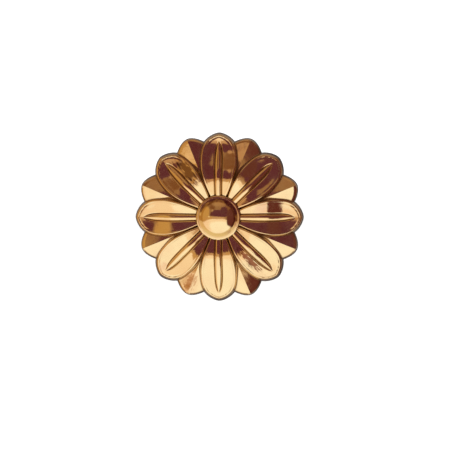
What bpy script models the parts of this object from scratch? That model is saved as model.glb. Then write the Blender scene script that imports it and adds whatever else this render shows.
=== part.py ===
"""A brass rosette struck from one sheet: a petalled flower with a domed boss, hollow behind.

Eight dished front petals, each with a raised rim and a midrib, lie over eight back petals that show as
ridged points between them. A round bead and a dome fill the middle, and the outline all round is turned
down to one flat seat. The rosette stands upright on edge: it faces -Y, and its seat is the plane y = 0.
"""

import math

import bmesh
import bpy
import numpy as np

MM = 0.001

# Driving dimensions
RADIUS = 30.0 * MM
HEIGHT = 10.5 * MM
SHEET = 0.8 * MM
PETALS = 8
HALF_SECTOR = math.pi / PETALS

# The pressed walls: rise over run, and how softly two surfaces flow together where they meet
WALL_SLOPE = 4.2
RIM_SOFTNESS = 0.20 * HEIGHT
CREASE_SOFTNESS = 0.020 * HEIGHT

# Front petals: the rim's line from root to tip, its slopes from the root over the crown and past a bend
# to the tip, and the depth of the two lobes inside it
RIM_TIP_HEIGHT = 0.305 * HEIGHT
RIM_TIP = RADIUS - RIM_TIP_HEIGHT / WALL_SLOPE
WIDEST_AT = 0.643 * RADIUS
HALF_WIDTH = 0.207 * RADIUS
ROOT_AT = 0.255 * RADIUS
ROOT_HALF_WIDTH = 0.096 * RADIUS
SIDE_POWER = 1.6
ARCH_POWERS = (3.2, 1.5)
ROOT_SLOPE = 0.32
FALL_SLOPE = 0.53
TIP_SLOPE = 0.16
CROWN_AT = 0.517 * RADIUS
CROWN_ROUND = 0.288 * HEIGHT
BEND_AT = 0.862 * RADIUS
BEND_ROUND = 0.118 * HEIGHT
DISH_DEPTH = 0.18 * HEIGHT
DISH_POWER = 2.0
NARROW_POWER = 2.4
TIP_DISH_WIDTH = 0.1 * RADIUS
TIP_DISH_SHARE = 0.12
TIP_LIFT = 0.5

# Midrib of a front petal
RIB_HEIGHT = 0.075 * HEIGHT
RIB_HALF_WIDTH = 0.043 * RADIUS
RIB_ROOT_HALF_WIDTH = 0.037 * RADIUS
RIB_WIDEST_AT = 0.567 * RADIUS
RIB_END = 0.897 * RADIUS
RIB_POWER = 2.0

# Back petals: a ridge along the middle, with a flat facet falling to each side, and a shallow valley
# where it runs in between two front petals
RIDGE_START = 0.58 * RADIUS
RIDGE_HEIGHT = 0.515 * HEIGHT
RIDGE_FALL = 0.24 * HEIGHT
VALLEY_DEPTH = 0.11 * HEIGHT
VALLEY_FROM = 0.62 * RADIUS
VALLEY_TO = 0.44 * RADIUS
FACET_SLOPE = 0.38
POINT_BLUNTNESS = 2.67
POINT_POWER = 1.85
POINT_HALF_WIDTH = 0.24 * RADIUS

# Boss: a round bead, a channel inside it, and a dome in the middle
BOSS_FOOT = 0.27 * RADIUS
BEAD_OUTSIDE = 0.258 * RADIUS
BEAD_AT = 0.245 * RADIUS
BEAD_HEIGHT = 0.737 * HEIGHT
BEAD_RADIUS = 0.018 * RADIUS
BEAD_POWER = 1.6
CHANNEL_AT = 0.214 * RADIUS
CHANNEL_HEIGHT = 0.765 * HEIGHT
CHANNEL_SLOPE = 0.25
CHANNEL_SOFTNESS = 0.05 * HEIGHT
DOME_RADIUS = 0.183 * RADIUS
BOSS_WALL_SLOPE = 8.0

# Rows and columns of the solid's facets over half a petal
RIB_COLUMNS = (0.0, 0.55, 1.0)
LOBE_COLUMNS = (0.4, 0.8, 1.0)
FACET_COLUMNS = (0.0, 0.4, 0.72, 1.0)
ROOT_ROWS, SIDE_ROWS, NOTCH_ROWS, TIP_ROWS = 3, 4, 1, 4
FIRST_SIDE = ROOT_ROWS
FIRST_NOTCH = FIRST_SIDE + SIDE_ROWS
FIRST_TIP = FIRST_NOTCH + NOTCH_ROWS
DOME_RINGS = (0.0, 0.38, 0.72, 1.0)
RINGS_OUTSIDE = (CHANNEL_AT, BEAD_AT, BEAD_OUTSIDE, BOSS_FOOT)
BOSS_RINGS = tuple(DOME_RADIUS * share for share in DOME_RINGS) + RINGS_OUTSIDE

# Fineness of the lines that rows are taken from, and the ball that rolls under the face
LINE_STEPS = 240
RIM_STEPS = 1201
HALVINGS = 30
BALL_RINGS = ((0.5, 8), (0.85, 12), (0.99, 12))
TINY = 1e-9
WELD = 0.002 * MM
SMOOTH_ANGLE = math.radians(35)


def soft_min(a, b, softness):
    """The lower of two surfaces, rounded where they cross."""
    return np.minimum(a, b) - np.maximum(softness - np.abs(a - b), 0.0) ** 2 / (4 * softness)


def soft_max(a, b, softness):
    """The higher of two surfaces, rounded where they cross."""
    return -soft_min(-a, -b, softness)


def polar(points):
    """Distance from the middle and angle from +X of each point."""
    return np.hypot(points[:, 0], points[:, 1]), np.arctan2(points[:, 1], points[:, 0])


def at(radius, angle):
    return np.column_stack([radius * np.cos(angle), radius * np.sin(angle)])


def folded(points):
    """Every point brought into the half sector beside +X, which the whole rosette repeats."""
    radius, angle = polar(points)
    return radius, np.abs(np.mod(angle + HALF_SECTOR, 2 * HALF_SECTOR) - HALF_SECTOR)


def in_back_frame(points):
    """Points of the half sector, seen from the back petal's own middle line."""
    radius, angle = folded(points)
    return at(radius, HALF_SECTOR - angle)


def rim_half_width(x):
    """Half the distance across a front petal between its rims, for a petal along +X."""
    reach = np.clip((WIDEST_AT - x) / (WIDEST_AT - ROOT_AT), 0.0, 1.5)
    ahead = np.clip((x - WIDEST_AT) / (RIM_TIP - WIDEST_AT), 0.0, 1.0)
    along, across = ARCH_POWERS
    side = HALF_WIDTH - (HALF_WIDTH - ROOT_HALF_WIDTH) * reach**SIDE_POWER
    return side * (1 - ahead**along) ** (1 / across)


def rim_line():
    """Half the rim of a front petal that points along +X, from its root to its tip."""
    side_x = np.linspace(ROOT_AT, WIDEST_AT, LINE_STEPS)
    turn = np.linspace(0.0, math.pi / 2, LINE_STEPS)[1:]
    arch_x = WIDEST_AT + (RIM_TIP - WIDEST_AT) * np.sin(turn) ** (2 / ARCH_POWERS[0])
    x = np.append(side_x, arch_x)
    return np.column_stack([x, rim_half_width(x)])


def point_edge(across):
    """How far a back petal's foot reaches, at a distance across from its middle line."""
    return RADIUS * (1 - POINT_BLUNTNESS * (np.abs(across) / RADIUS) ** POINT_POWER)


def point_line():
    """Half the foot of a back petal that points along +X, from its tip to past its widest part."""
    across = np.linspace(0.0, POINT_HALF_WIDTH, LINE_STEPS)
    return np.column_stack([point_edge(across), across])


def distance_to(line, points):
    """Distance from each point to a line of short straight steps."""
    start, step = line[:-1], np.diff(line, axis=0)
    away = points[:, None, :] - start[None]
    share = np.clip((away * step).sum(2) / (step**2).sum(1), 0.0, 1.0)
    return np.linalg.norm(away - share[..., None] * step, axis=2).min(1)


def inside_rim(points):
    """Distance inside the front petal's rim, negative outside it."""
    x, y = points.T
    sign = np.where((y < rim_half_width(x)) & (x < RIM_TIP), 1.0, -1.0)
    return sign * distance_to(rim_line(), points)


def inside_point(points):
    """Distance inside the back petal's foot, negative outside it, for a petal along +X."""
    x, y = points.T
    return np.where(x < point_edge(y), 1.0, -1.0) * distance_to(point_line(), points)


def rim_height(radius):
    """How high a front petal's rim stands: it climbs from the root, falls from the crown, then levels out."""
    tip = RIM_TIP_HEIGHT + TIP_SLOPE * (RIM_TIP - radius)
    bend = RIM_TIP_HEIGHT + TIP_SLOPE * (RIM_TIP - BEND_AT)
    fall = bend + FALL_SLOPE * (BEND_AT - radius)
    root = bend + FALL_SLOPE * (BEND_AT - CROWN_AT) - ROOT_SLOPE * (CROWN_AT - radius)
    return soft_min(root, soft_max(fall, tip, BEND_ROUND), CROWN_ROUND)


def rib_half_width(x):
    """The midrib widens a little from the root, then runs to a point."""
    near = np.clip((x - BOSS_FOOT) / (RIB_WIDEST_AT - BOSS_FOOT), 0.0, 1.0)
    far = np.clip((x - RIB_WIDEST_AT) / (RIB_END - RIB_WIDEST_AT), 0.0, 1.0)
    return (RIB_ROOT_HALF_WIDTH + (RIB_HALF_WIDTH - RIB_ROOT_HALF_WIDTH) * near) * (1 - far**4)


def dish(x):
    """How deep a lobe is at its middle, and how far in from the rim it goes on deepening."""
    ahead = np.clip((x - WIDEST_AT) / (RIM_TIP - WIDEST_AT), 0.0, 1.0)
    before = x < WIDEST_AT
    width = np.where(before, rim_half_width(x), HALF_WIDTH - (HALF_WIDTH - TIP_DISH_WIDTH) * ahead**1.5)
    width = np.maximum(width, TINY)
    narrow = np.where(before, np.clip(width / HALF_WIDTH, 0.0, 1.0), 1.0)
    lifted_tip, flat_tip = 1 - (1 - TIP_DISH_SHARE) * ahead**2, (1 - ahead**2) ** 2
    return DISH_DEPTH * narrow**NARROW_POWER * (TIP_LIFT * lifted_tip + (1 - TIP_LIFT) * flat_tip), width


def front_petal_height(points):
    """A front petal along +X: two dished lobes and a midrib inside the rim, and a steep wall outside it."""
    x, y = points.T
    rim = rim_height(np.hypot(x, y))
    inside = inside_rim(points)
    depth, width = dish(x)
    lobe = rim - depth * (1 - (1 - np.clip(inside / width, 0.0, 1.0)) ** DISH_POWER)
    half = np.maximum(rib_half_width(x), TINY)
    rib = RIB_HEIGHT * half / RIB_HALF_WIDTH * (1 - np.clip(np.abs(y) / half, 0.0, 1.0) ** RIB_POWER)
    return soft_min(lobe + rib, rim + WALL_SLOPE * inside, RIM_SOFTNESS)


def facet_height(points):
    """The two facets of a back petal along +X, which fall from its ridge and run in to the valley."""
    radius, _ = polar(points)
    beyond = np.clip((radius - RIDGE_START) / (RADIUS - RIDGE_START), 0.0, 1.2)
    within = np.clip((VALLEY_FROM - radius) / (VALLEY_FROM - VALLEY_TO), 0.0, 1.0)
    valley = (1 - np.cos(math.pi * within)) / 2
    ridge = (1 - valley) * (RIDGE_HEIGHT - RIDGE_FALL * beyond**1.3)
    return ridge + valley * (rim_height(radius) - VALLEY_DEPTH) - FACET_SLOPE * np.abs(points[:, 1])


def back_petal_height(points):
    """A back petal along +X: its facets, and a steep wall at its foot."""
    return soft_min(facet_height(points), WALL_SLOPE * inside_point(points), CREASE_SOFTNESS)


def boss_height(radius):
    """The boss: a dome, a channel, a round bead, and a steep wall outside the bead."""
    rise = HEIGHT - CHANNEL_HEIGHT
    ball = (DOME_RADIUS**2 + rise**2) / (2 * rise)
    dome = HEIGHT - ball + np.sqrt(np.maximum(ball**2 - radius**2, 0.0))
    off_bead = np.abs(radius - BEAD_AT) / BEAD_RADIUS
    bead = BEAD_HEIGHT - BEAD_RADIUS / 2 * off_bead**BEAD_POWER
    wall = BEAD_HEIGHT - BOSS_WALL_SLOPE * (radius - BEAD_OUTSIDE)
    channel = CHANNEL_HEIGHT - CHANNEL_SLOPE * (radius - DOME_RADIUS)
    inner = soft_max(soft_max(dome, channel, CHANNEL_SOFTNESS), bead, CREASE_SOFTNESS)
    return soft_min(inner, wall, CREASE_SOFTNESS)


def face_height(points):
    """Height of the rosette's face above the seat, and below zero outside its outline."""
    radius, angle = folded(points)
    front = front_petal_height(at(radius, angle))
    back = back_petal_height(at(radius, HALF_SECTOR - angle))
    petals = soft_max(front, back, CREASE_SOFTNESS)
    return np.where(radius < BOSS_FOOT, soft_max(petals, boss_height(radius), CREASE_SOFTNESS), petals)


def reverse_height(points):
    """Height of the sheet's reverse: a ball as wide as the sheet is thick rolls along under the face."""
    lowest = face_height(points) - SHEET
    for share, count in BALL_RINGS:
        drop = SHEET * math.sqrt(1 - share**2)
        for turn in np.arange(count) * 2 * math.pi / count:
            step = SHEET * share * np.array([math.cos(turn), math.sin(turn)])
            lowest = np.minimum(lowest, face_height(points + step) - drop)
    return lowest


def along(line):
    """Length along a line to each of its points."""
    return np.append(0.0, np.cumsum(np.linalg.norm(np.diff(line, axis=0), axis=1)))


def wall_feet(rim, out, height):
    """Where the wall outside each point of the rim ends, and the three places where that changes.

    From the root the wall ends on the line between two front petals, then on a back petal's facet. Past
    the facet's end it meets the back petal's own wall, and round the tip it ends on the seat.
    """
    middle = np.array([-math.sin(HALF_SECTOR), math.cos(HALF_SECTOR)])
    to_middle = -(rim @ middle) / np.maximum(out @ middle, TINY)
    to_seat = height / WALL_SLOPE
    low, high = np.zeros(len(rim)), to_seat
    for _ in range(HALVINGS):
        guess = (low + high) / 2
        above = height - WALL_SLOPE * guess > facet_height(in_back_frame(rim + out * guess[:, None]))
        low, high = np.where(above, guess, low), np.where(above, high, guess)
    on_facet, on_seat = in_back_frame(rim + out * low[:, None]), in_back_frame(rim + out * to_seat[:, None])
    place = np.arange(len(rim))
    parted = int(np.argmax(low < to_middle))
    beyond_facet = WALL_SLOPE * inside_point(on_facet) < facet_height(on_facet)
    edge = int(np.argmax(beyond_facet & (place > parted)))
    notch = int(np.argmax((inside_point(on_seat) < 0) & (place > edge)))
    run = np.where(place <= parted, to_middle, np.where(place < notch, low, to_seat))
    return rim + out * run[:, None], (parted, edge, notch)


def petal_rows():
    """The rows of half a front petal: where each starts on the midrib, its rim, and the foot of its wall.

    The last array is the way out from the rim.
    """
    line = rim_line()
    lengths = np.linspace(0.0, along(line)[-1], RIM_STEPS)
    rim = np.column_stack([np.interp(lengths, along(line), line[:, axis]) for axis in (0, 1)])
    ahead = np.gradient(rim, axis=0)
    out = np.column_stack([-ahead[:, 1], ahead[:, 0]])
    out /= np.linalg.norm(out, axis=1)[:, None]
    out[-1] = (1.0, 0.0)
    foot, (parted, edge, notch) = wall_feet(rim, out, rim_height(np.hypot(*rim.T)))
    stretches = ((0, parted, ROOT_ROWS), (parted, edge, SIDE_ROWS), (edge, notch, NOTCH_ROWS))
    stops = [np.linspace(first, last, count, endpoint=False) for first, last, count in stretches]
    stops.append(np.linspace(notch, RIM_STEPS - 1, TIP_ROWS + 1))
    rows = np.concatenate(stops).round().astype(int)

    widest = np.interp(WIDEST_AT, rim[:, 0], lengths)
    axis_x = np.interp(lengths[rows], (0.0, widest, lengths[-1]), (BOSS_FOOT, WIDEST_AT, RIB_END))
    axis = np.column_stack([axis_x, 0.0 * axis_x])
    crest, foot, out = rim[rows], foot[rows], out[rows]
    share = np.linspace(0.0, 1.0, NOTCH_ROWS + 1)[:, None]
    foot[FIRST_NOTCH : FIRST_TIP + 1] = foot[FIRST_NOTCH] + share * (foot[FIRST_TIP] - foot[FIRST_NOTCH])
    crest[0] *= BOSS_FOOT / np.hypot(*crest[0])
    foot[0] *= BOSS_FOOT / np.hypot(*foot[0])
    return axis, crest, foot, out


def point_foot(notch):
    """Foot of half a back petal, from the notch beside the front petal to its tip."""
    reach, behind = polar(point_line())
    _, start = polar(in_back_frame(notch[None]))
    turn = start * (1 - np.array(FACET_COLUMNS))
    foot = at(np.interp(turn, behind, reach), HALF_SECTOR - turn)
    foot[0] = notch
    return foot


def moved_in(loop, inset):
    """An outline moved inwards by an even distance. Its ends stay on the lines that the rosette mirrors."""
    step = np.diff(loop, axis=0)
    side = np.column_stack([step[:, 1], -step[:, 0]]) / np.linalg.norm(step, axis=1)[:, None]
    first, last = loop[0] / np.linalg.norm(loop[0]), loop[-1] / np.linalg.norm(loop[-1])
    before = np.vstack([2 * (side[0] @ first) * first - side[0], side])
    after = np.vstack([side, 2 * (side[-1] @ last) * last - side[-1]])
    joined = (before + after) / np.linalg.norm(before + after, axis=1)[:, None]
    return loop + joined * (inset / (joined * after).sum(1))[:, None]


def inset_rows(crest, foot, out, point, inset):
    """The rows of the sheet's reverse, which lies inside the outline by the wall's run."""
    loop = np.vstack([point[::-1], foot[FIRST_TIP + 1 :]])
    inner = moved_in(loop, inset)
    near = np.clip(np.arange(FIRST_TIP) - FIRST_SIDE, 0, 2)[:, None] / 2
    shift = np.vstack([-out[:FIRST_TIP] * inset * near, inner[len(point) - 1 :] - foot[FIRST_TIP:]])
    return crest + shift, foot + shift, inner[: len(point)][::-1]


def turned_between(a, b, share):
    """The points a share of the way from a to b, in distance from the middle and in angle."""
    (radius_a, angle_a), (radius_b, angle_b) = polar(a), polar(b)
    return at(radius_a + share * (radius_b - radius_a), angle_a + share * (angle_b - angle_a))


def petal_grid(axis, crest, foot):
    """Half a front petal. Its columns follow the midrib's edge, the rim, and the foot of the wall."""
    edge = np.clip(rib_half_width(axis[:, 0]) / np.maximum(crest[:, 1], TINY), 0.12, 0.4)
    edge[-1] = edge[-2]
    columns = [turned_between(axis, crest, share * edge) for share in RIB_COLUMNS]
    columns += [turned_between(axis, crest, edge + share * (1 - edge)) for share in LOBE_COLUMNS]
    return np.stack(columns + [foot], axis=1)


def point_grids(foot, point, inset):
    """Half a back petal: its facet between the front petal's foot and the ridge, and its wall."""
    side = foot[FIRST_SIDE : FIRST_NOTCH + 1]
    share = np.array(FACET_COLUMNS)[None, :, None]
    tip_height = RIDGE_HEIGHT - RIDGE_FALL
    ridge_end = RADIUS - tip_height / WALL_SLOPE - inset
    ridge_radius = np.linspace(np.hypot(*side[0]), ridge_end, SIDE_ROWS + 1)
    ridge = at(ridge_radius, np.full(SIDE_ROWS + 1, HALF_SECTOR))
    facet = side[:, None] + share * (ridge - side)[:, None]
    run = np.maximum(facet_height(in_back_frame(point)), 0.0) / WALL_SLOPE
    edge = point * (1 - run / np.hypot(*point.T))[:, None]
    edge[0], edge[-1] = side[-1], ridge[-1]
    bulge = np.linspace(0.0, 1.0, SIDE_ROWS + 1)[:, None, None] ** 2
    facet = facet + bulge * (edge - facet[-1])
    down = np.linspace(0.0, 1.0, NOTCH_ROWS + 1)[:, None, None]
    wall = edge + down * (point - edge)
    wall[:, 0] = foot[FIRST_NOTCH : FIRST_TIP + 1]
    return facet, wall


def boss_grid(root):
    """The boss inside the roots of the petals. root is the petal grid's first row."""
    rings = np.array(BOSS_RINGS)
    share = (rings / BOSS_FOOT)[:, None]
    _, angles = polar(root)
    angle = share * angles + (1 - share) * np.linspace(0.0, HALF_SECTOR, len(angles))
    return np.stack([at(ring, row) for ring, row in zip(rings, angle)])


def lifted(grid, height):
    flat = grid.reshape(-1, 2)
    return np.column_stack([flat, height(flat)]).reshape(*grid.shape[:2], 3)


def half_sector(height, inset):
    """One side of the sheet over half a sector: the grids of its points, and its edge on the seat.

    Rows run outwards, and columns run from the front petal's midrib to the back petal's ridge. height
    gives this side's height above the seat, and inset is how far it lies inside the outline.
    """
    axis, crest, foot, out = petal_rows()
    point = point_foot(foot[FIRST_TIP])
    if inset:
        crest, foot, point = inset_rows(crest, foot, out, point, inset)
    petal = petal_grid(axis, crest, foot)
    facet, wall = point_grids(foot, point, inset)
    grids = [lifted(grid, height) for grid in (petal, facet, wall, boss_grid(petal[0]))]
    grids[0][FIRST_TIP:, -1, 2] = 0.0
    grids[2][-1, :, 2] = 0.0
    return grids, np.vstack([grids[2][-1, ::-1], grids[0][FIRST_TIP + 1 :, -1]])


def add_grid(mesh, grid, place, flipped):
    """Adds a grid of points as quads. place is the matrix that puts this copy into the rosette."""
    points = [[mesh.verts.new(place @ point) for point in row] for row in grid]
    for near, far in zip(points, points[1:]):
        for corners in zip(near, far, far[1:], near[1:]):
            mesh.faces.new(corners[::-1] if flipped else corners)


def make_rosette():
    """The sheet's face and reverse, and the flat seat between them, repeated round the middle."""
    face, outline = half_sector(face_height, 0.0)
    reverse, inner_outline = half_sector(reverse_height, SHEET * math.sqrt(1 + 1 / WALL_SLOPE**2))
    seat = np.stack([outline, inner_outline], axis=1)
    mesh = bmesh.new()
    for turn in np.arange(PETALS) * 2 * HALF_SECTOR:
        sine, cosine = math.sin(turn), math.cos(turn)
        turned = np.array([[cosine, -sine, 0.0], [sine, cosine, 0.0], [0.0, 0.0, 1.0]])
        for mirror in (1.0, -1.0):
            place = turned @ np.diag([1.0, mirror, 1.0])
            for grid in face:
                add_grid(mesh, grid, place, mirror < 0)
            for grid in reverse:
                add_grid(mesh, grid, place, mirror > 0)
            add_grid(mesh, seat, place, mirror < 0)
    bmesh.ops.remove_doubles(mesh, verts=mesh.verts, dist=WELD)
    bmesh.ops.dissolve_degenerate(mesh, dist=WELD, edges=mesh.edges)
    bmesh.ops.triangulate(mesh, faces=mesh.faces)
    data = bpy.data.meshes.new("rosette")
    mesh.to_mesh(data)
    mesh.free()
    data.shade_smooth()
    data.set_sharp_from_angle(angle=SMOOTH_ANGLE)
    return data


def polished_brass():
    material = bpy.data.materials.new("polished_brass")
    material.use_nodes = True
    shader = material.node_tree.nodes["Principled BSDF"]
    shader.inputs["Base Color"].default_value = (0.86, 0.56, 0.24, 1.0)
    shader.inputs["Metallic"].default_value = 1.0
    shader.inputs["Roughness"].default_value = 0.18
    return material


for old in list(bpy.data.objects):
    bpy.data.objects.remove(old)
rosette = bpy.data.objects.new("rosette", make_rosette())
rosette.data.materials.append(polished_brass())
rosette.rotation_euler.x = math.pi / 2
bpy.context.scene.collection.objects.link(rosette)
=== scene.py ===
import math

import bmesh
import bpy
import numpy as np
from mathutils import Matrix, Vector, noise


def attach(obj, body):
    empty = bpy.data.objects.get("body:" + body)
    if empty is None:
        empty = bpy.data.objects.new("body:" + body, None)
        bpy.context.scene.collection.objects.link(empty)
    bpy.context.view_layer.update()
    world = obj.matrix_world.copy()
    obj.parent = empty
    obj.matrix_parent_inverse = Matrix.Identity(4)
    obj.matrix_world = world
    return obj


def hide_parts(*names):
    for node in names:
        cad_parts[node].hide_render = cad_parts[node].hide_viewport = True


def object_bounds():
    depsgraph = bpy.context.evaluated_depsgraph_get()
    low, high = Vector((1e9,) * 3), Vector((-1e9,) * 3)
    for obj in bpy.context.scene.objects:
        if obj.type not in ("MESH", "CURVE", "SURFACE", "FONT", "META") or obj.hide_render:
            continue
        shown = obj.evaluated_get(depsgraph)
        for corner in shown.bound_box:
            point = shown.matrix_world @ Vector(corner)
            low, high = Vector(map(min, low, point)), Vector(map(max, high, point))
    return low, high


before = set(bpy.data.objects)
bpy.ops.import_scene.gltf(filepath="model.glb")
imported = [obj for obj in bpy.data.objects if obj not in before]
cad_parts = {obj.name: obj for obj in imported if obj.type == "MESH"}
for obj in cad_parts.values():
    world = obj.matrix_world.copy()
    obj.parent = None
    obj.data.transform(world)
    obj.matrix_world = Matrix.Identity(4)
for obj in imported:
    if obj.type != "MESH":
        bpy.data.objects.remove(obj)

CAD_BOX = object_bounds()

# The front petals. Eight long petals, each with a raised rim and a midrib between two dished lobes,
# struck between dies from the one sheet of brass that the whole rosette is made of. Heights count from
# the flat seat, and each rule is for a petal along +X, mirrored about its middle line.
MM = 0.001
RADIUS = (CAD_BOX[1][0] - CAD_BOX[0][0]) / 2
HEIGHT = CAD_BOX[1][1] - CAD_BOX[0][1]
WALL_SLOPE = 4.2
TINY = 1e-9

RIM_TIP_HEIGHT = 0.305 * HEIGHT
RIM_TIP = RADIUS - RIM_TIP_HEIGHT / WALL_SLOPE
RIM_SOFTNESS = 0.20 * HEIGHT
WIDEST_AT = 0.643 * RADIUS
HALF_WIDTH = 0.207 * RADIUS
ROOT_AT = 0.255 * RADIUS
ROOT_HALF_WIDTH = 0.096 * RADIUS
ROOT_REACH = 1.5
SIDE_POWER = 1.6
ARCH_POWERS = (3.2, 1.5)
LINE_STEPS = 480

ROOT_SLOPE = 0.32
FALL_SLOPE = 0.53
TIP_SLOPE = 0.16
CROWN_AT = 0.517 * RADIUS
CROWN_ROUND = 0.288 * HEIGHT
BEND_AT = 0.862 * RADIUS
BEND_ROUND = 0.118 * HEIGHT

DISH_DEPTH = 0.18 * HEIGHT
DISH_POWER = 2.0
NARROW_POWER = 2.4
TIP_DISH_WIDTH = 0.1 * RADIUS
TIP_DISH_POWER = 1.5
TIP_DISH_SHARE = 0.12
RIM_ROLLS = (0.25 * MM, 0.48 * MM)
RIM_GROOVE_AT = 0.85 * MM
RIM_GROOVE_WIDTHS = (0.17 * MM, 0.20 * MM)
RIM_GROOVE_DEPTHS = (0.11 * MM, 0.24 * MM)
RIM_GROOVE_FROM = (0.32 * RADIUS, 0.5 * RADIUS)

BOSS_FOOT = 0.27 * RADIUS
RIB_HEIGHT = 0.075 * HEIGHT
RIB_HALF_WIDTH = 0.043 * RADIUS
RIB_ROOT_HALF_WIDTH = 0.037 * RADIUS
RIB_WIDEST_AT = 0.567 * RADIUS
RIB_END = 0.897 * RADIUS
RIB_END_POWER = 4
RIB_POWER = 2.0
RIB_GROOVE_WIDTHS = (0.24 * MM, 0.24 * MM)
RIB_GROOVE_DEPTH = 0.32 * MM
RIB_GROOVE_GROWTH = 1.5


def soft_min(a, b, softness):
    """The lower of two surfaces, rounded where they cross."""
    return np.minimum(a, b) - np.maximum(softness - np.abs(a - b), 0.0) ** 2 / (4 * softness)


def soft_max(a, b, softness):
    """The higher of two surfaces, rounded where they cross."""
    return -soft_min(-a, -b, softness)


def rim_half_width(x):
    """Half the distance across a petal between its rims."""
    reach = np.clip((WIDEST_AT - x) / (WIDEST_AT - ROOT_AT), 0.0, ROOT_REACH)
    ahead = np.clip((x - WIDEST_AT) / (RIM_TIP - WIDEST_AT), 0.0, 1.0)
    along_power, across_power = ARCH_POWERS
    side = HALF_WIDTH - (HALF_WIDTH - ROOT_HALF_WIDTH) * reach**SIDE_POWER
    return side * (1 - ahead**along_power) ** (1 / across_power)


def rim_line():
    """Half the rim of a petal, from its root to its tip."""
    side_x = np.linspace(ROOT_AT, WIDEST_AT, LINE_STEPS)
    turn = np.linspace(0.0, math.pi / 2, LINE_STEPS)[1:]
    arch_x = WIDEST_AT + (RIM_TIP - WIDEST_AT) * np.sin(turn) ** (2 / ARCH_POWERS[0])
    x = np.append(side_x, arch_x)
    return np.column_stack([x, rim_half_width(x)])


def distance_to(line, points):
    """Distance from each point to a line of short straight steps."""
    start, step = line[:-1], np.diff(line, axis=0)
    away = points[:, None, :] - start[None]
    share = np.clip((away * step).sum(2) / (step**2).sum(1), 0.0, 1.0)
    return np.linalg.norm(away - share[..., None] * step, axis=2).min(1)


def inside_rim(points):
    """Distance inside the rim, negative outside it."""
    x, y = points.T
    sign = np.where((y < rim_half_width(x)) & (x < RIM_TIP), 1.0, -1.0)
    return sign * distance_to(rim_line(), points)


def rim_height(radius):
    """How high the rim stands: it climbs from root to crown, falls, and levels out at its tip."""
    tip = RIM_TIP_HEIGHT + TIP_SLOPE * (RIM_TIP - radius)
    bend = RIM_TIP_HEIGHT + TIP_SLOPE * (RIM_TIP - BEND_AT)
    fall = bend + FALL_SLOPE * (BEND_AT - radius)
    root = bend + FALL_SLOPE * (BEND_AT - CROWN_AT) - ROOT_SLOPE * (CROWN_AT - radius)
    return soft_min(root, soft_max(fall, tip, BEND_ROUND), CROWN_ROUND)


def rib_half_width(x):
    """The midrib widens a little from the root, then runs to a point."""
    near = np.clip((x - BOSS_FOOT) / (RIB_WIDEST_AT - BOSS_FOOT), 0.0, 1.0)
    far = np.clip((x - RIB_WIDEST_AT) / (RIB_END - RIB_WIDEST_AT), 0.0, 1.0)
    widened = RIB_ROOT_HALF_WIDTH + (RIB_HALF_WIDTH - RIB_ROOT_HALF_WIDTH) * near
    return widened * (1 - far**RIB_END_POWER)


def dish_width(x):
    """How far in from the rim a lobe goes on deepening, which is less at the root and at the tip."""
    ahead = np.clip((x - WIDEST_AT) / (RIM_TIP - WIDEST_AT), 0.0, 1.0)
    beyond = HALF_WIDTH - (HALF_WIDTH - TIP_DISH_WIDTH) * ahead**TIP_DISH_POWER
    return np.where(x < WIDEST_AT, rim_half_width(x), beyond)


def groove(distance, widths, depth):
    """A groove, widths[0] wide where distance is positive and widths[1] wide on its other side."""
    return depth * np.exp(-((distance / np.where(distance > 0, *widths)) ** 2))


def front_petal_height(points, tip_lift, deep):
    """Two dished lobes and a midrib inside the rim, and a steep wall outside it.

    tip_lift is 1 where the lobes turn up towards the tip, and 0 where they run out flat. deep is the
    share of their full depth that the lobes have.
    """
    x, y = points.T
    rim = rim_height(np.hypot(x, y))
    inside = inside_rim(points)
    width = np.maximum(dish_width(x), TINY)
    ahead = np.clip((x - WIDEST_AT) / (RIM_TIP - WIDEST_AT), 0.0, 1.0)
    narrow = np.where(x < WIDEST_AT, np.clip(width / HALF_WIDTH, 0.0, 1.0), 1.0)
    lifted_tip, flat_tip = 1 - (1 - TIP_DISH_SHARE) * ahead**2, (1 - ahead**2) ** 2
    tip = tip_lift * lifted_tip + (1 - tip_lift) * flat_tip
    depth = deep * DISH_DEPTH * narrow**NARROW_POWER * tip
    lobe = rim - depth * (1 - (1 - np.clip(inside / width, 0.0, 1.0)) ** DISH_POWER)
    begun = np.clip((x - RIM_GROOVE_FROM[0]) / (RIM_GROOVE_FROM[1] - RIM_GROOVE_FROM[0]), 0.0, 1.0)
    roll = begun * (RIM_ROLLS[0] + (RIM_ROLLS[1] - RIM_ROLLS[0]) * ahead)
    lobe -= roll * np.maximum(1 - inside / RIM_GROOVE_AT, 0.0) ** 2
    deepest = begun * (RIM_GROOVE_DEPTHS[0] + (RIM_GROOVE_DEPTHS[1] - RIM_GROOVE_DEPTHS[0]) * ahead)
    lobe -= groove(inside - RIM_GROOVE_AT, RIM_GROOVE_WIDTHS, deepest)
    half = np.maximum(rib_half_width(x), TINY)
    size = half / RIB_HALF_WIDTH
    rib = RIB_HEIGHT * size * (1 - np.clip(np.abs(y) / half, 0.0, 1.0) ** RIB_POWER)
    beside_rib = RIB_GROOVE_DEPTH * np.clip(RIB_GROOVE_GROWTH * size, 0.0, 1.0)
    rib -= groove(np.abs(y) - half, RIB_GROOVE_WIDTHS, beside_rib)
    return soft_min(lobe + rib, rim + WALL_SLOPE * inside, RIM_SOFTNESS)


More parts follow.
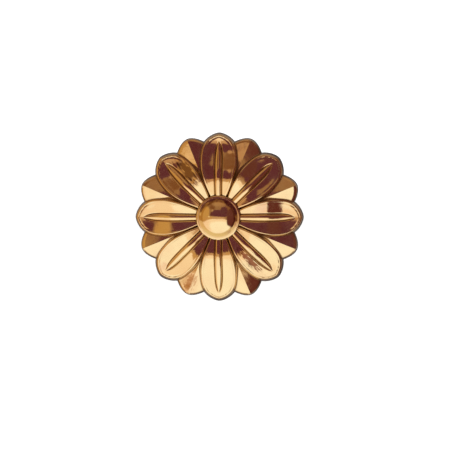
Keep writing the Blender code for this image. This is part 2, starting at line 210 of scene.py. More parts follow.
# The back petals. Eight ridged petals of the same sheet show between the front ones: two flat facets
# that meet in a ridge, with a blunt round point. Further in they run up between two front petals.
CREASE_SOFTNESS = 0.020 * HEIGHT
RIDGE_START = 0.58 * RADIUS
RIDGE_HEIGHT = 0.515 * HEIGHT
RIDGE_FALL = 0.24 * HEIGHT
RIDGE_POWER = 1.3
RIDGE_REACH = 1.2
VALLEY_DEPTH = 0.11 * HEIGHT
VALLEY_FROM = 0.62 * RADIUS
VALLEY_TO = 0.44 * RADIUS
FACET_SLOPE = 0.38
POINT_BLUNTNESS = 2.67
POINT_POWER = 1.85
POINT_HALF_WIDTH = 0.24 * RADIUS


def point_edge(across):
    """How far a back petal's foot reaches, at a distance across from its middle line."""
    return RADIUS * (1 - POINT_BLUNTNESS * (np.abs(across) / RADIUS) ** POINT_POWER)


def point_line():
    """Half the foot of a back petal, from its tip to past its widest part."""
    across = np.linspace(0.0, POINT_HALF_WIDTH, LINE_STEPS)
    return np.column_stack([point_edge(across), across])


def inside_point(points):
    """Distance inside the back petal's foot, negative outside it."""
    x, y = points.T
    return np.where(x < point_edge(y), 1.0, -1.0) * distance_to(point_line(), points)


def facet_height(points):
    """The two facets, which fall from the ridge and run up between the front petals."""
    radius = np.hypot(*points.T)
    beyond = np.clip((radius - RIDGE_START) / (RADIUS - RIDGE_START), 0.0, RIDGE_REACH)
    within = np.clip((VALLEY_FROM - radius) / (VALLEY_FROM - VALLEY_TO), 0.0, 1.0)
    share = (1 - np.cos(math.pi * within)) / 2
    ridge = RIDGE_HEIGHT - RIDGE_FALL * beyond**RIDGE_POWER
    valley = rim_height(radius) - VALLEY_DEPTH
    return (1 - share) * ridge + share * valley - FACET_SLOPE * np.abs(points[:, 1])


def back_petal_height(points):
    """The facets, and a steep wall at their foot."""
    return soft_min(facet_height(points), WALL_SLOPE * inside_point(points), CREASE_SOFTNESS)


# The boss. A smooth dome in the middle of the sheet, a sloping channel round it, and a round bead that
# leans a little outwards over the roots of the petals.
BEAD_AT = 0.245 * RADIUS
BEAD_OUTSIDE = 0.258 * RADIUS
BEAD_HEIGHT = 0.706 * HEIGHT
BEAD_RADIUS = 0.018 * RADIUS
BEAD_POWER = 1.6
BEAD_LEAN = 0.35
BOSS_WALL_SLOPE = 8.0
DOME_RADIUS = 0.183 * RADIUS
CHANNEL_HEIGHT = 0.765 * HEIGHT
CHANNEL_SLOPE = 0.42
CHANNEL_SOFTNESS = 0.05 * HEIGHT
CHANNEL_UNDER_DOME = 0.2 * DOME_RADIUS


def boss_height(radius):
    """The dome, the channel, the bead, and a steep wall outside the bead."""
    rise = HEIGHT - CHANNEL_HEIGHT
    ball = (DOME_RADIUS**2 + rise**2) / (2 * rise)
    dome = HEIGHT - ball + np.sqrt(np.maximum(ball**2 - radius**2, 0.0))
    off_bead = np.abs(radius - BEAD_AT) / BEAD_RADIUS
    bead = BEAD_HEIGHT - BEAD_RADIUS / 2 * off_bead**BEAD_POWER - BEAD_LEAN * (radius - BEAD_AT)
    foot = BEAD_HEIGHT - BEAD_LEAN * (BEAD_OUTSIDE - BEAD_AT)
    wall = foot - BOSS_WALL_SLOPE * (radius - BEAD_OUTSIDE)
    channel = CHANNEL_HEIGHT - CHANNEL_SLOPE * np.maximum(radius - DOME_RADIUS, -CHANNEL_UNDER_DOME)
    inner = soft_max(soft_max(dome, channel, CHANNEL_SOFTNESS), bead, CREASE_SOFTNESS)
    return soft_min(inner, wall, CREASE_SOFTNESS)


# The sheet. Petals and boss are one skin of thin brass, turned down at its outline to a flat seat, with
# the hollow reverse of the same relief behind it. Each tip was bent up or down a little by use.
SHEET = 0.8 * MM
PETALS = 8
HALF_SECTOR = math.pi / PETALS
BALL_RINGS = ((0.5, 8), (0.85, 12), (0.99, 12))
TIP_LIFTS = (0.8, 0.0, 1.0, 0.5, 0.7, 0.0, 0.0, 0.0)
MEAN_LIFT = 0.5
TIP_DROOP = 0.30
SHALLOW_PETAL = 7
SHALLOW_LOBE = 0.55
RIM_STEPS = 2401
HALVINGS = 30
COLUMN_GATHER = 0.11
RIB_SHARES = (0.12, 0.4)


def polar(points):
    """Distance from the middle and angle from +X of each point."""
    return np.hypot(points[:, 0], points[:, 1]), np.arctan2(points[:, 1], points[:, 0])


def at(radius, angle):
    """The points at a distance from the middle and an angle from +X."""
    return np.column_stack([radius * np.cos(angle), radius * np.sin(angle)])


def folded(points):
    """Every point brought into the half sector beside +X, which the whole rosette repeats."""
    radius, angle = polar(points)
    return radius, np.abs(np.mod(angle + HALF_SECTOR, 2 * HALF_SECTOR) - HALF_SECTOR)


def in_back_frame(points):
    """Points of the half sector, seen from the back petal's own middle line."""
    radius, angle = folded(points)
    return at(radius, HALF_SECTOR - angle)


def face_height(points, tip_lift=MEAN_LIFT, deep=1.0):
    """Height of the rosette's face above the seat, and below zero outside its outline."""
    radius, angle = folded(points)
    front = front_petal_height(at(radius, angle), tip_lift, deep)
    back = back_petal_height(at(radius, HALF_SECTOR - angle))
    petals = soft_max(front, back, CREASE_SOFTNESS)
    return np.where(radius < BOSS_FOOT, soft_max(petals, boss_height(radius), CREASE_SOFTNESS), petals)


def reverse_height(points):
    """Height of the reverse: a ball with the sheet's thickness as its radius rolls under the face."""
    lowest = face_height(points) - SHEET
    for share, count in BALL_RINGS:
        drop = SHEET * math.sqrt(1 - share**2)
        for turn in np.arange(count) * 2 * math.pi / count:
            step = SHEET * share * np.array([math.cos(turn), math.sin(turn)])
            lowest = np.minimum(lowest, face_height(points + step) - drop)
    return lowest


def along(line):
    """Length along a line to each of its points."""
    return np.append(0.0, np.cumsum(np.linalg.norm(np.diff(line, axis=0), axis=1)))


def wall_feet(rim, out, height):
    """Where the wall outside each point of the rim ends, and the three places where that changes.

    From the root the wall ends on the line between two front petals, then on a back petal's facet. Past
    the facet's end it meets the back petal's own wall, and round the tip it ends on the seat.
    """
    middle = np.array([-math.sin(HALF_SECTOR), math.cos(HALF_SECTOR)])
    to_middle = -(rim @ middle) / np.maximum(out @ middle, TINY)
    to_seat = height / WALL_SLOPE
    low, high = np.zeros(len(rim)), to_seat
    for _ in range(HALVINGS):
        guess = (low + high) / 2
        above = height - WALL_SLOPE * guess > facet_height(in_back_frame(rim + out * guess[:, None]))
        low, high = np.where(above, guess, low), np.where(above, high, guess)
    on_facet = in_back_frame(rim + out * low[:, None])
    on_seat = in_back_frame(rim + out * to_seat[:, None])
    place = np.arange(len(rim))
    parted = int(np.argmax(low < to_middle))
    beyond_facet = WALL_SLOPE * inside_point(on_facet) < facet_height(on_facet)
    edge = int(np.argmax(beyond_facet & (place > parted)))
    notch = int(np.argmax((inside_point(on_seat) < 0) & (place > edge)))
    run = np.where(place <= parted, to_middle, np.where(place < notch, low, to_seat))
    return rim + out * run[:, None], (parted, edge, notch)


class Fineness:
    """How many rows and columns of facets half a petal gets, on one side of the sheet."""

    def __init__(self, rows, rib, lobe, wall, facet, boss):
        self.rows = rows
        self.first_side = rows[0]
        self.first_notch = rows[0] + rows[1]
        self.first_tip = rows[0] + rows[1] + rows[2]
        self.rib = np.sin(np.linspace(0.0, math.pi / 2, rib + 1))
        even = np.linspace(0.0, 1.0, lobe + 1)[1:]
        self.lobe = even - COLUMN_GATHER * np.sin(2 * math.pi * even)
        self.wall = np.linspace(0.0, 1.0, wall + 1)[1:]
        self.facet = np.linspace(0.0, 1.0, facet + 1)
        dome, channel, bead, drop = boss
        stretches = (
            np.linspace(0.0, DOME_RADIUS, dome, endpoint=False),
            np.linspace(DOME_RADIUS, BEAD_AT - 2 * BEAD_RADIUS, channel, endpoint=False),
            np.linspace(BEAD_AT - 2 * BEAD_RADIUS, BEAD_OUTSIDE, bead, endpoint=False),
            np.linspace(BEAD_OUTSIDE, BOSS_FOOT, drop + 1),
        )
        self.boss = np.concatenate(stretches)


FACE = Fineness(rows=(14, 26, 5, 26), rib=8, lobe=20, wall=5, facet=14, boss=(14, 5, 12, 5))
REVERSE = Fineness(rows=(5, 9, 2, 26), rib=3, lobe=5, wall=2, facet=14, boss=(5, 2, 4, 2))


def petal_rows(fine):
    """The rows of half a front petal.

    Each row gives a point on the midrib, one on the rim, the foot of the wall, and the way out there.
    """
    line = rim_line()
    lengths = np.linspace(0.0, along(line)[-1], RIM_STEPS)
    rim = np.column_stack([np.interp(lengths, along(line), line[:, axis]) for axis in (0, 1)])
    ahead = np.gradient(rim, axis=0)
    out = np.column_stack([-ahead[:, 1], ahead[:, 0]])
    out /= np.linalg.norm(out, axis=1)[:, None]
    out[-1] = (1.0, 0.0)
    foot, (parted, edge, notch) = wall_feet(rim, out, rim_height(np.hypot(*rim.T)))
    marks = (0, parted, edge, notch)
    stops = [np.linspace(a, b, n, endpoint=False) for a, b, n in zip(marks, marks[1:], fine.rows)]
    stops.append(np.linspace(notch, RIM_STEPS - 1, fine.rows[3] + 1))
    rows = np.concatenate(stops).round().astype(int)

    widest = np.interp(WIDEST_AT, rim[:, 0], lengths)
    axis_x = np.interp(lengths[rows], (0.0, widest, lengths[-1]), (BOSS_FOOT, WIDEST_AT, RIB_END))
    axis = np.column_stack([axis_x, 0.0 * axis_x])
    crest, foot, out = rim[rows], foot[rows], out[rows]
    share = np.linspace(0.0, 1.0, fine.rows[2] + 1)[:, None]
    first, last = foot[fine.first_notch].copy(), foot[fine.first_tip].copy()
    foot[fine.first_notch : fine.first_tip + 1] = first + share * (last - first)
    crest[0] *= BOSS_FOOT / np.hypot(*crest[0])
    foot[0] *= BOSS_FOOT / np.hypot(*foot[0])
    return axis, crest, foot, out


def point_foot(fine, notch):
    """Foot of half a back petal, from the notch beside the front petal to its tip."""
    reach, behind = polar(point_line())
    _, start = polar(in_back_frame(notch[None]))
    turn = start * (1 - fine.facet)
    foot = at(np.interp(turn, behind, reach), HALF_SECTOR - turn)
    foot[0] = notch
    return foot


def moved_in(loop, inset):
    """An outline moved inwards by an even distance. Its ends stay on the rosette's mirror lines."""
    step = np.diff(loop, axis=0)
    side = np.column_stack([step[:, 1], -step[:, 0]]) / np.linalg.norm(step, axis=1)[:, None]
    first, last = loop[0] / np.linalg.norm(loop[0]), loop[-1] / np.linalg.norm(loop[-1])
    before = np.vstack([2 * (side[0] @ first) * first - side[0], side])
    after = np.vstack([side, 2 * (side[-1] @ last) * last - side[-1]])
    joined = (before + after) / np.linalg.norm(before + after, axis=1)[:, None]
    return loop + joined * (inset / (joined * after).sum(1))[:, None]


def inset_rows(fine, crest, foot, out, point, inset):
    """The rows of the sheet's reverse, which lies inside the outline by the wall's run."""
    loop = np.vstack([point[::-1], foot[fine.first_tip + 1 :]])
    inner = moved_in(loop, inset)
    near = np.clip(np.arange(fine.first_tip) - fine.first_side, 0, 2)[:, None] / 2
    tips = inner[len(point) - 1 :] - foot[fine.first_tip :]
    shift = np.vstack([-out[: fine.first_tip] * inset * near, tips])
    return crest + shift, foot + shift, inner[: len(point)][::-1]


def turned_between(a, b, share):
    """The points a share of the way from a to b, in distance from the middle and in angle."""
    (radius_a, angle_a), (radius_b, angle_b) = polar(a), polar(b)
    return at(radius_a + share * (radius_b - radius_a), angle_a + share * (angle_b - angle_a))


def petal_grid(fine, axis, crest, foot):
    """Half a front petal. Its columns follow the midrib's edge, the rim, and the foot of the wall."""
    edge = np.clip(rib_half_width(axis[:, 0]) / np.maximum(crest[:, 1], TINY), *RIB_SHARES)
    edge[-1] = edge[-2]
    columns = [turned_between(axis, crest, share * edge) for share in fine.rib]
    columns += [turned_between(axis, crest, edge + share * (1 - edge)) for share in fine.lobe]
    columns += [crest + share * (foot - crest) for share in fine.wall]
    return np.stack(columns, axis=1)


def point_grids(fine, foot, point, inset):
    """Half a back petal: its facet between the front petal's foot and the ridge, and its wall."""
    side = foot[fine.first_side : fine.first_notch + 1]
    share = fine.facet[None, :, None]
    ridge_end = RADIUS - (RIDGE_HEIGHT - RIDGE_FALL) / WALL_SLOPE - inset
    ridge_radius = np.linspace(np.hypot(*side[0]), ridge_end, len(side))
    ridge = at(ridge_radius, np.full(len(side), HALF_SECTOR))
    facet = side[:, None] + share * (ridge - side)[:, None]
    run = np.maximum(facet_height(in_back_frame(point)), 0.0) / WALL_SLOPE
    edge = point * (1 - run / np.hypot(*point.T))[:, None]
    edge[0], edge[-1] = side[-1], ridge[-1]
    bulge = np.linspace(0.0, 1.0, len(side))[:, None, None] ** 2
    facet = facet + bulge * (edge - facet[-1])
    down = np.linspace(0.0, 1.0, fine.rows[2] + 1)[:, None, None]
    wall = edge + down * (point - edge)
    wall[:, 0] = foot[fine.first_notch : fine.first_tip + 1]
    return facet, wall


def boss_grid(fine, root):
    """The boss inside the roots of the petals. root is the petal grid's first row."""
    share = (fine.boss / BOSS_FOOT)[:, None]
    _, angles = polar(root)
    angle = share * angles + (1 - share) * np.linspace(0.0, HALF_SECTOR, len(angles))
    return np.stack([at(ring, row) for ring, row in zip(fine.boss, angle)])


CREASE_LOOKS = 8
CREASE_REACH = 0.3 * MM
CREASE_FULL = 0.18 * MM
STEEP_FROM = 0.9
STEEP_FULL = 2.5
LIFT_COLUMN, FLAT_COLUMN = 6, 7


def creased(points, level):
    """How deep in a crease each point of the face lies, 0 on open metal, and how steep it is there."""
    around, slope = np.zeros(len(points)), np.zeros((len(points), 2))
    for turn in np.arange(CREASE_LOOKS) * 2 * math.pi / CREASE_LOOKS:
        way = np.array([math.cos(turn), math.sin(turn)])
        there = face_height(points + CREASE_REACH * way)
        around += there / CREASE_LOOKS
        slope += np.outer(there - level, way) * 2 / CREASE_LOOKS / CREASE_REACH
    steep = (np.linalg.norm(slope, axis=1) - STEEP_FROM) / (STEEP_FULL - STEEP_FROM)
    return np.clip((around - level) / CREASE_FULL, 0.0, 1.0), np.clip(steep, 0.0, 1.0)


def lifted(grid, height):
    """A grid's points as x, y and height, and five marks.

    The marks are how deep in a crease and how steep a point is, 1 on the reverse, and what a lifted tip
    and a flat lobe add to its height.
    """
    flat = grid.reshape(-1, 2)
    if height is face_height:
        level = face_height(flat, 0.0)
        marks = [*creased(flat, face_height(flat)), 0 * level]
        marks += [face_height(flat, 1.0) - level, face_height(flat, 0.0, 0.0) - level]
    else:
        level = height(flat)
        marks = [0 * level, 0 * level, 1 + 0 * level, 0 * level, 0 * level]
    return np.column_stack([flat, level, *marks]).reshape(*grid.shape[:2], 3 + len(marks))


def half_sector(fine, height, inset):
    """One side of the sheet over half a sector: the grids of its points, and its edge on the seat.

    Rows run outwards, and columns run from the front petal's midrib to the back petal's ridge. height
    gives this side's height above the seat, and inset is how far it lies inside the outline.
    """
    axis, crest, foot, out = petal_rows(fine)
    point = point_foot(fine, foot[fine.first_tip])
    if inset:
        crest, foot, point = inset_rows(fine, crest, foot, out, point, inset)
    petal = petal_grid(fine, axis, crest, foot)
    facet, wall = point_grids(fine, foot, point, inset)
    grids = [lifted(grid, height) for grid in (petal, facet, wall, boss_grid(fine, petal[0]))]
    grids[0][fine.first_tip :, -1, 2] = 0.0
    grids[2][-1, :, 2] = 0.0
    return grids, np.vstack([grids[2][-1, ::-1], grids[0][fine.first_tip + 1 :, -1]])


def bent(flat, petal, mirrored):
    """Half a sector's points with this petal's own bend of the tip, and the one shallower lobe."""
    tip_lift = TIP_LIFTS[petal]
    flat = flat.copy()
    flat[:, 2] += tip_lift * flat[:, LIFT_COLUMN]
    if petal == SHALLOW_PETAL and mirrored:
        flat[:, 2] += (1 - SHALLOW_LOBE) * flat[:, FLAT_COLUMN]
    ahead = np.clip((flat[:, 0] - WIDEST_AT) / (RIM_TIP - WIDEST_AT), 0.0, 1.0)
    _, aside = polar(flat[:, :2])
    beside = np.clip(2 * (1 - aside / HALF_SECTOR), 0.0, 1.0)
    flat[:, 2] *= 1 - (1 - tip_lift) * TIP_DROOP * beside * ahead**2
    return flat


def quads(grid, flipped, offset):
    """Corner numbers of a grid's quads, counted from offset."""
    rows, columns = grid.shape[:2]
    number = offset + np.arange(rows * columns).reshape(rows, columns)
    corners = [number[:-1, :-1], number[1:, :-1], number[1:, 1:], number[:-1, 1:]]
    return np.stack(corners[::-1] if flipped else corners, axis=-1).reshape(-1, 4)


def pressed_sheet():
    """The whole sheet's points and quads: face, reverse and seat, repeated round the middle."""
    face, outline = half_sector(FACE, face_height, 0.0)
    reverse, inner = half_sector(REVERSE, reverse_height, SHEET * math.sqrt(1 + 1 / WALL_SLOPE**2))
    seat = np.stack([outline, inner], axis=1)
    sides = [(grid, False) for grid in face] + [(grid, True) for grid in reverse] + [(seat, False)]
    points, corners, total = [], [], 0
    for petal in range(PETALS):
        turn = petal * 2 * HALF_SECTOR
        sine, cosine = math.sin(turn), math.cos(turn)
        turned = np.array([[cosine, -sine, 0.0], [sine, cosine, 0.0], [0.0, 0.0, 1.0]])
        for mirrored in (False, True):
            place = turned @ np.diag([1.0, -1.0 if mirrored else 1.0, 1.0])
            for grid, under in sides:
                flat = bent(grid.reshape(-1, grid.shape[2]), petal, mirrored)
                points.append(np.column_stack([flat[:, :3] @ place.T, flat[:, 3:LIFT_COLUMN]]))
                corners.append(quads(grid, under != mirrored, total))
                total += grid.shape[0] * grid.shape[1]
    return np.vstack(points), np.vstack(corners)


DENTS = ((6.0 * MM, 0.09 * MM, 3.0), (2.2 * MM, 0.026 * MM, 11.0))
DENTED_AT = (-12.0 * MM, 16.4 * MM)
DENTED_WAY = math.radians(129)
DENTED_SPREAD = (6.5 * MM, 2.4 * MM)
WRINKLE_SIZES = (5.0 * MM, 0.75 * MM)
WRINKLE_DEPTH = 0.09 * MM
WRINKLE_LEAST = 0.02
EVEN_ABOVE_SEAT = 3.0 * MM
EVEN_BELOW_TOP = 1.0 * MM


def dents(points):
    """The unevenness of thin pressed metal, and the wrinkles of one petal.

    It dies away towards the seat and towards the dome's top, so that both stay where they are.
    """
    depth = np.zeros(len(points))
    for size, amount, shift in DENTS:
        depth += [amount * noise.noise((x / size + shift, y / size, 0.0)) for x, y in points[:, :2]]
    way = np.array([math.cos(DENTED_WAY), math.sin(DENTED_WAY)])
    away = points[:, :2] - np.array(DENTED_AT)
    ahead, aside = away @ way, away @ np.array([-way[1], way[0]])
    near = np.exp(-((ahead / DENTED_SPREAD[0]) ** 2) - (aside / DENTED_SPREAD[1]) ** 2)
    for place in np.flatnonzero(near > WRINKLE_LEAST):
        spot = (ahead[place] / WRINKLE_SIZES[0], aside[place] / WRINKLE_SIZES[1], 0.0)
        depth[place] += WRINKLE_DEPTH * near[place] * noise.noise(spot)
    depth *= np.clip(points[:, 2] / EVEN_ABOVE_SEAT, 0.0, 1.0)
    return depth * np.clip((HEIGHT - points[:, 2]) / EVEN_BELOW_TOP, 0.0, 1.0)


WELD = 0.002 * MM
SHARP_ANGLE = math.radians(40)


def brass_mesh():
    """The sheet as one mesh, stood upright to face -Y, with the marks that its finish reads."""
    points, corners = pressed_sheet()
    points[:, 2] += dents(points)
    data = bpy.data.meshes.new("rosette_sheet")
    data.from_pydata(points[:, :3].tolist(), [], corners.tolist())
    for column, name in enumerate(("recess", "steep", "reverse"), start=3):
        data.attributes.new(name, "FLOAT", "POINT").data.foreach_set("value", points[:, column])
    data.transform(Matrix.Rotation(math.pi / 2, 4, "X"))
    sheet = bmesh.new()
    sheet.from_mesh(data)
    bmesh.ops.remove_doubles(sheet, verts=sheet.verts, dist=WELD)
    bmesh.ops.dissolve_degenerate(sheet, dist=WELD, edges=sheet.edges)
    sheet.to_mesh(data)
    sheet.free()
    data.shade_smooth()
    data.set_sharp_from_angle(angle=SHARP_ANGLE)
    return data


rosette = bpy.data.objects.new("rosette_sheet", brass_mesh())
bpy.context.scene.collection.objects.link(rosette)

# The finish. Polished brass that has gone coppery in clouds. Its creases hold grime and painted shade,
# its steep walls painted shade, and both are rougher; a painted shade runs along the foot of the
# outline, and the channel round the dome is stained and speckled. Three petals have a streaked patch of
# their own, which on the front petal at the upper left is a painted reflection.
BRASS = (0.90, 0.69, 0.37)
WARMER_BRASS = (0.88, 0.62, 0.33)
COPPERY = (0.80, 0.50, 0.30)
# grime and painted shade for the creases, and painted shade for the steep walls
GRIME_AND_SHADE = (0.34, 0.19, 0.075)
# painted shade along the foot of the outline
EDGE_FOOT_SHADE = (0.15, 0.115, 0.10)
CHANNEL_STAIN = (0.66, 0.41, 0.13)
CHANNEL_SPECKLE = (0.34, 0.14, 0.07)
REVERSE_BROWN = (0.42, 0.26, 0.12)
REVERSE_BRASS = (0.58, 0.38, 0.18)

# Each cloud is a fineness, a detail, and the share of it that starts and ends the change.
WARM_CLOUD = (140.0, 3.0, 0.35, 0.7)
COPPER_CLOUD = (90.0, 4.0, 0.60, 0.75)
SPECKLE_CLOUD = (900.0, 2.0, 0.35, 0.6)
REVERSE_CLOUD = (200.0, 5.0, 0.3, 0.7)
WORN_CLOUD = (260.0, 4.0, 0.4, 0.75)
ORANGE_PEEL_CLOUD = (700.0, 3.0, 0.0, 1.0)
PATCHES = (
    # middle as x and z, turn, half length, half width, fineness of its streaks, colour
    # the dark coppery streaks on the front petal at the lower right
    ((11.1 * MM, -15.1 * MM), math.radians(45), 6.6 * MM, 1.2 * MM, 3.5, (0.29, 0.11, 0.05)),
    # a painted reflection: the dark streaks on the front petal at the upper left
    ((-11.2 * MM, 16.2 * MM), math.radians(45), 6.6 * MM, 2.2 * MM, 3.0, (0.30, 0.17, 0.09)),
    # the tarnished spot on the back petal at the lower left
    ((-9.9 * MM, -23.0 * MM), math.radians(-68), 4.2 * MM, 2.0 * MM, 4.0, (0.66, 0.38, 0.18)),
)
PATCH_DETAIL = 3.0
PATCH_RAGGEDNESS = 2.4
PATCH_EDGE = (2.25, 1.75)
CHANNEL_MIDDLE = 6.1 * MM
CHANNEL_STAIN_REACH = 0.9 * MM
CHANNEL_STAIN_SHARE = 0.9
SPECKLED_SLANT = 0.6
SPECKLED_FROM_TO = (-3.0 * MM, 4.0 * MM)
EDGE_FROM_TO = (-2.2 * MM, -0.9 * MM)
STEEP_SHADE = 0.55
POLISHED_ROUGHNESS = 0.08
WORN_ROUGHNESS = 0.07
DULL_ROUGHNESS = 0.34
ORANGE_PEEL_STRENGTH = 0.35
ORANGE_PEEL_DEPTH = 0.05 * MM


def added(tree, kind, **settings):
    """A new node in a node tree, with some of its settings."""
    node = tree.nodes.new(kind)
    for name, value in settings.items():
        setattr(node, name, value)
    return node


def fed(tree, socket, value):
    """Feeds a socket with another node's output, a colour or a number."""
    if isinstance(value, bpy.types.NodeSocket):
        tree.links.new(value, socket)
    elif isinstance(value, tuple):
        socket.default_value = (*value, 1.0)
    else:
        socket.default_value = value


def worked(tree, operation, *values):
    """Values worked together by one step of arithmetic."""
    node = added(tree, "ShaderNodeMath", operation=operation)
    for socket, value in zip(node.inputs, values):
        fed(tree, socket, value)
    return node.outputs[0]


def mixed(tree, share, a, b):
    """Two colours mixed: a where share is 0, and b where it is 1."""
    node = added(tree, "ShaderNodeMix", data_type="RGBA")
    for name, value in (("Factor", share), ("A", a), ("B", b)):
        fed(tree, node.inputs[name], value)
    return node.outputs["Result"]


def band(tree, value, start, end):
    """0 up to the value start and 1 from the value end, with an even bend between them."""
    node = added(tree, "ShaderNodeMapRange", interpolation_type="SMOOTHSTEP")
    for name, fed_value in (("Value", value), ("From Min", start), ("From Max", end)):
        fed(tree, node.inputs[name], fed_value)
    return node.outputs["Result"]


def cloud(tree, where, fineness, detail, start, end):
    """Soft shapes spread over the metal, 0 outside them and 1 inside."""
    node = added(tree, "ShaderNodeTexNoise")
    for name, value in (("Vector", where), ("Scale", fineness), ("Detail", detail)):
        fed(tree, node.inputs[name], value)
    return band(tree, node.outputs["Fac"], start, end)


def patch(tree, where, middle, turn, half_length, half_width, fineness):
    """One long streaked patch with a ragged edge, 0 outside it and 1 inside."""
    place = added(tree, "ShaderNodeMapping", vector_type="TEXTURE")
    fed(tree, place.inputs["Vector"], where)
    place.inputs["Location"].default_value = (middle[0], -CROWN_AT / 2, middle[1])
    place.inputs["Rotation"].default_value = (0.0, turn, 0.0)
    place.inputs["Scale"].default_value = (half_length, RADIUS, half_width)
    far = added(tree, "ShaderNodeVectorMath", operation="LENGTH")
    fed(tree, far.inputs[0], place.outputs["Vector"])
    streaks = added(tree, "ShaderNodeTexNoise")
    values = (("Vector", place.outputs["Vector"]), ("Scale", fineness), ("Detail", PATCH_DETAIL))
    for name, value in values:
        fed(tree, streaks.inputs[name], value)
    reach = worked(tree, "MULTIPLY_ADD", streaks.outputs["Fac"], PATCH_RAGGEDNESS, far.outputs["Value"])
    return band(tree, reach, *PATCH_EDGE)


def channel_ring(tree, x, z):
    """1 in the channel round the dome, and 0 away from it."""
    squares = [worked(tree, "POWER", value, 2.0) for value in (x, z)]
    out = worked(tree, "SQRT", worked(tree, "ADD", *squares))
    off_channel = worked(tree, "ABSOLUTE", worked(tree, "SUBTRACT", out, CHANNEL_MIDDLE))
    return band(tree, off_channel, CHANNEL_STAIN_REACH, CHANNEL_STAIN_REACH / 2)


def polished_brass():
    material = bpy.data.materials.new("polished_brass")
    material.use_nodes = True
    tree = material.node_tree
    shader = tree.nodes["Principled BSDF"]
    shader.inputs["Metallic"].default_value = 1.0
    where = added(tree, "ShaderNodeTexCoord").outputs["Object"]
    apart = added(tree, "ShaderNodeSeparateXYZ")
    fed(tree, apart.inputs[0], where)
    x, y, z = apart.outputs
    marks = ("recess", "steep", "reverse")
    nodes = [added(tree, "ShaderNodeAttribute", attribute_name=name) for name in marks]
    recess, steep, reverse = [node.outputs["Fac"] for node in nodes]
    # Painted shade, with grime in the creases: this mask darkens the colour in creases and on steep
    # walls, and roughens them.
    grime_and_shade = worked(tree, "MAXIMUM", recess, worked(tree, "MULTIPLY", steep, STEEP_SHADE))

    colour = mixed(tree, cloud(tree, where, *WARM_CLOUD), BRASS, WARMER_BRASS)
    colour = mixed(tree, cloud(tree, where, *COPPER_CLOUD), colour, COPPERY)
    # One of these patches, the dark streaks on the front petal at the upper left, is a painted
    # reflection.
    for *place, tint in PATCHES:
        colour = mixed(tree, patch(tree, where, *place), colour, tint)
    slanted = worked(tree, "ADD", x, worked(tree, "MULTIPLY", z, SPECKLED_SLANT))
    sided = band(tree, slanted, *SPECKLED_FROM_TO)
    speckles = worked(tree, "MULTIPLY", sided, cloud(tree, where, *SPECKLE_CLOUD))
    speckled = mixed(tree, speckles, CHANNEL_STAIN, CHANNEL_SPECKLE)
    ring = worked(tree, "MULTIPLY", channel_ring(tree, x, z), CHANNEL_STAIN_SHARE)
    colour = mixed(tree, ring, colour, speckled)
    # Painted shade, with grime in the creases: creases and steep walls go dark brown.
    colour = mixed(tree, grime_and_shade, colour, GRIME_AND_SHADE)
    # Painted shade: the sheet's lowest 0.9 mm goes dark grey-brown, fading out by 2.2 mm above the
    # seat.
    colour = mixed(tree, band(tree, y, *EDGE_FROM_TO), colour, EDGE_FOOT_SHADE)
    aged = mixed(tree, cloud(tree, where, *REVERSE_CLOUD), REVERSE_BROWN, REVERSE_BRASS)
    fed(tree, shader.inputs["Base Color"], mixed(tree, reverse, colour, aged))

    wear = cloud(tree, where, *WORN_CLOUD)
    worn = worked(tree, "MULTIPLY_ADD", wear, WORN_ROUGHNESS, POLISHED_ROUGHNESS)
    dulled = worked(tree, "MAXIMUM", grime_and_shade, reverse)
    rough = worked(tree, "MULTIPLY_ADD", dulled, DULL_ROUGHNESS, worn)
    fed(tree, shader.inputs["Roughness"], rough)
    bump = added(tree, "ShaderNodeBump")
    bump.inputs["Strength"].default_value = ORANGE_PEEL_STRENGTH
    bump.inputs["Distance"].default_value = ORANGE_PEEL_DEPTH
    fed(tree, bump.inputs["Height"], cloud(tree, where, *ORANGE_PEEL_CLOUD))
    fed(tree, shader.inputs["Normal"], bump.outputs["Normal"])
    return material


rosette.data.materials.append(polished_brass())
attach(rosette, "root")
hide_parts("rosette")

# The floor. A plain pale surface below the rosette, wide enough to fill the view. The polished metal
# doesn't reflect it: what it does reflect is the room in the next section.
FLOOR_DROP = 3.0 * RADIUS
FLOOR_SIDE = 8.0
FLOOR_PALE = (0.9, 0.9, 0.88)
FLOOR_ROUGHNESS = 0.8

bpy.ops.mesh.primitive_plane_add(size=FLOOR_SIDE, location=(0, 0, -FLOOR_DROP))
floor = bpy.context.active_object
floor.name = "floor"
pale = bpy.data.materials.new("pale_floor")
pale.use_nodes = True
pale.node_tree.nodes["Principled BSDF"].inputs["Base Color"].default_value = (*FLOOR_PALE, 1.0)
pale.node_tree.nodes["Principled BSDF"].inputs["Roughness"].default_value = FLOOR_ROUGHNESS
floor.data.materials.append(pale)
floor.visible_glossy = False

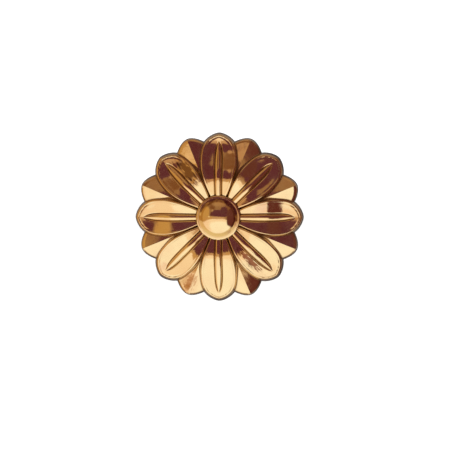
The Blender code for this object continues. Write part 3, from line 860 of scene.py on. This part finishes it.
# The light. A soft white studio for the floor, and for the polished metal a room of soft cards, each
# a patch of the surroundings. The two lowest cards are the lit table below the rosette.
STUDIO = 1.25
ROOM = (0.34, 0.19, 0.10)
CARD_POWER = 3.0
CARDS = (
    # middle azimuth (0 in front, 90 towards +X), half width, middle elevation, half height,
    # softness, colour
    (180, 86, 0, 200, 0.08, (0.36, 0.31, 0.30)),
    (0, 400, 92, 27, 0.3, (0.45, 0.27, 0.14)),
    (-100, 46, 5, 40, 0.10, (0.60, 0.36, 0.13)),
    (-48, 22, 50, 9, 0.25, (0.22, 0.09, 0.035)),
    (95, 40, 12, 50, 0.12, (0.24, 0.11, 0.048)),
    (-38.5, 5.5, 37, 4.5, 0.2, (0.55, 0.33, 0.19)),
    (-32, 16, 19, 12, 0.15, (0.135, 0.036, 0.045)),
    (14, 50, 25, 21, 0.08, (0.125, 0.032, 0.055)),
    (40, 24, 38, 20, 0.10, (0.115, 0.028, 0.045)),
    (-15, 52, -3, 8, 0.25, (0.60, 0.38, 0.24)),
    (-50, 16, -3, 8, 0.25, (0.62, 0.37, 0.16)),
    (-53, 4.5, 5, 3, 0.2, (0.90, 0.70, 0.46)),
    (-10, 88, -50, 43, 0.05, (1.06, 0.90, 0.78)),
    (8, 78, -69, 48, 0.12, (1.12, 1.12, 1.12)),
    (80, 33, -2, 37, 0.08, (0.135, 0.038, 0.034)),
)


def off_card(tree, value, middle, half):
    """How far a direction lies from a card's middle, 1 at its edge, to the power of its outline."""
    away = worked(tree, "ABSOLUTE", worked(tree, "SUBTRACT", value, middle))
    return worked(tree, "POWER", worked(tree, "DIVIDE", away, half), CARD_POWER)


def room_light():
    world = bpy.data.worlds.new("room")
    world.use_nodes = True
    tree = world.node_tree
    way = added(tree, "ShaderNodeSeparateXYZ")
    fed(tree, way.inputs[0], added(tree, "ShaderNodeTexCoord").outputs["Generated"])
    x, y, z = way.outputs
    degrees = 180 / math.pi
    elevation = worked(tree, "MULTIPLY", worked(tree, "ARCSINE", z), degrees)
    front = worked(tree, "MULTIPLY", y, -1.0)
    azimuth = worked(tree, "MULTIPLY", worked(tree, "ARCTAN2", x, front), degrees)
    colour = ROOM
    for middle, half_width, height, half_height, softness, tint in CARDS:
        turned = worked(tree, "WRAP", azimuth, middle + 180, middle - 180)
        across = off_card(tree, turned, middle, half_width)
        up = off_card(tree, elevation, height, half_height)
        out = worked(tree, "POWER", worked(tree, "ADD", across, up), 1 / CARD_POWER)
        colour = mixed(tree, band(tree, out, 1 + softness, 1 - softness), colour, tint)
    glossy = added(tree, "ShaderNodeLightPath").outputs["Is Glossy Ray"]
    shown = mixed(tree, glossy, (STUDIO, STUDIO, STUDIO), colour)
    fed(tree, tree.nodes["Background"].inputs["Color"], shown)
    return world


bpy.context.scene.world = room_light()
bpy.context.scene.view_settings.view_transform = "Standard"

# The camera. It looks at the rosette from a little above and to its right, as in the photograph, from
# far enough off that the rosette shows almost without perspective.
VIEW_AZIMUTH = math.radians(3.2)
VIEW_ELEVATION = math.radians(2.8)
VIEW_DISTANCE = 445 * MM
LENS_MM = 100.0
SENSOR_MM = 36.0
FRAME_SIDE_PX = 450
CENTRE_PX = (219.4, 216.85)
PIXEL = VIEW_DISTANCE * SENSOR_MM / LENS_MM / FRAME_SIDE_PX

camera = bpy.data.objects.new("camera", bpy.data.cameras.new("camera"))
camera.data.lens = LENS_MM
camera.data.sensor_width = SENSOR_MM
level = math.cos(VIEW_ELEVATION)
side, front = math.sin(VIEW_AZIMUTH) * level, -math.cos(VIEW_AZIMUTH) * level
towards = Vector((side, front, math.sin(VIEW_ELEVATION)))
turn = towards.to_track_quat("Z", "Y")
across_frame = (FRAME_SIDE_PX / 2 - CENTRE_PX[0]) * PIXEL
up_frame = (CENTRE_PX[1] - FRAME_SIDE_PX / 2) * PIXEL
aim = turn @ Vector((across_frame, up_frame, 0.0))
camera.rotation_euler = turn.to_euler()
camera.location = aim + towards * VIEW_DISTANCE
bpy.context.scene.collection.objects.link(camera)
bpy.context.scene.camera = camera
